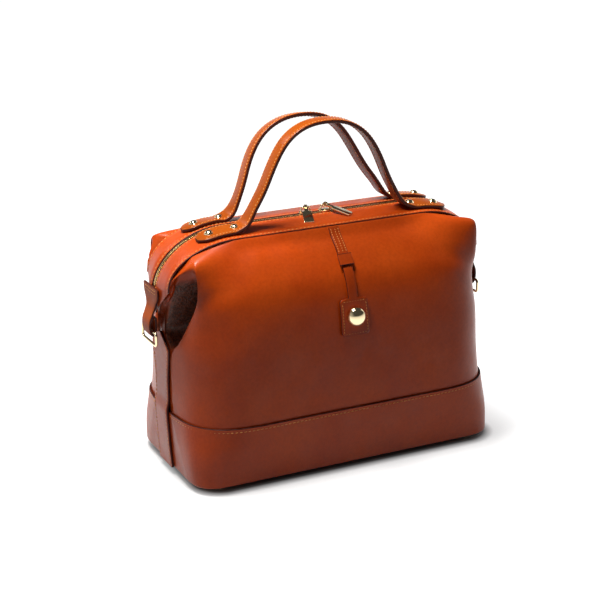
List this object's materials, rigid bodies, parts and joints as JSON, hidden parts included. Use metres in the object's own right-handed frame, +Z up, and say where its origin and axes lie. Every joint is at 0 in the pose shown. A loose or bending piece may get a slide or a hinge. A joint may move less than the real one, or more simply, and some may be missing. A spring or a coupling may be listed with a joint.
{
  "type": "handbag",
  "caption": "Tan leather top-handle handbag with folded-in corners, a metal double zip, riveted strap handles, end rings and a domed front tab.",
  "frame": {"origin": "on the table, at the middle of the middle foot's flat face", "axes": "+X to the bag's right end along its length, +Y to its back, +Z up; the domed front tab is on -Y"},
  "size_m": [0.3316, 0.1678, 0.3075],
  "materials": {
    "tan_leather": "glossy burnished tan cowhide",
    "strap_leather": "glossy tan strap leather with dark edges",
    "sole_leather": "matte dark brown",
    "pale_gold": "polished pale gold plate",
    "zip_tape": "woven dark brown tape",
    "stiffener_board": "pressed fibre board",
    "lining_cloth": "plain beige cloth"
  },
  "bodies": {
    "bag": {"front_base_band": "tan_leather", "front_handle_left_anchor": "strap_leather", "front_handle_right_anchor": "strap_leather", "front_left_foot": "pale_gold", "front_left_inner_rivet": "pale_gold", "front_left_outer_rivet": "pale_gold", "front_panel": "tan_leather", "front_right_foot": "pale_gold", "front_right_inner_rivet": "pale_gold", "front_right_outer_rivet": "pale_gold", "front_strap": "strap_leather", "front_top_panel": "tan_leather", "front_zip_tape": "zip_tape", "front_zip_teeth": "pale_gold", "left_end_strip": "tan_leather", "left_zip_tab": "strap_leather", "lining": "lining_cloth", "middle_foot": "pale_gold", "press_stud": "pale_gold", "rear_base_band": "tan_leather", "rear_handle_left_anchor": "strap_leather", "rear_handle_right_anchor": "strap_leather", "rear_left_foot": "pale_gold", "rear_left_inner_rivet": "pale_gold", "rear_left_outer_rivet": "pale_gold", "rear_panel": "tan_leather", "rear_right_foot": "pale_gold", "rear_right_inner_rivet": "pale_gold", "rear_right_outer_rivet": "pale_gold", "rear_top_panel": "tan_leather", "rear_zip_tape": "zip_tape", "rear_zip_teeth": "pale_gold", "right_end_strip": "tan_leather", "right_zip_tab": "strap_leather", "sole": "sole_leather", "stiffener_board": "stiffener_board", "strap_keeper": "strap_leather"},
    "front_handle": {"front_handle": "strap_leather"},
    "rear_handle": {"rear_handle": "strap_leather"},
    "left_slider": {"left_zip_slider": "pale_gold"},
    "right_slider": {"right_zip_slider": "pale_gold"},
    "left_puller": {"left_zip_puller": "pale_gold"},
    "right_puller": {"right_zip_puller": "pale_gold"},
    "left_ring": {"left_ring": "pale_gold"},
    "right_ring": {"right_ring": "pale_gold"},
    "front_tab": {"front_catch": "strap_leather", "catch_dome": "pale_gold"}
  },
  "joints": [
    {"name": "front_handle_swing", "type": "hinge", "parent": "bag", "child": "front_handle", "pos_m": [0, -0.017, 0.2345], "axis": [1, 0, 0], "range_deg": [-6, 85]},
    {"name": "rear_handle_swing", "type": "hinge", "parent": "bag", "child": "rear_handle", "pos_m": [0, 0.017, 0.2345], "axis": [-1, 0, 0], "range_deg": [-18, 73]},
    {"name": "left_slider_travel", "type": "slide", "parent": "bag", "child": "left_slider", "axis": [-1, 0, 0], "range_m": [0, 0.038]},
    {"name": "right_slider_travel", "type": "slide", "parent": "bag", "child": "right_slider", "axis": [1, 0, 0], "range_m": [0, 0.028]},
    {"name": "left_puller_flip", "type": "hinge", "parent": "left_slider", "child": "left_puller", "pos_m": [-0.01, 0, 0.22525], "axis": [-1, 0, 0], "range_deg": [0, 140]},
    {"name": "right_puller_flip", "type": "hinge", "parent": "right_slider", "child": "right_puller", "pos_m": [0.0095, 0, 0.22525], "axis": [-1, 0, 0], "range_deg": [0, 140]},
    {"name": "left_ring_swing", "type": "hinge", "parent": "bag", "child": "left_ring", "pos_m": [-0.16109, 0, 0.13535], "axis": [0, 1, 0], "range_deg": [-20, 100]},
    {"name": "right_ring_swing", "type": "hinge", "parent": "bag", "child": "right_ring", "pos_m": [0.16109, 0, 0.13535], "axis": [0, -1, 0], "range_deg": [-20, 100]},
    {"name": "front_tab_lift", "type": "hinge", "parent": "bag", "child": "front_tab", "pos_m": [0, -0.06187, 0.18371], "axis": [-1, 0, 0], "range_deg": [0, 100]}
  ]
}
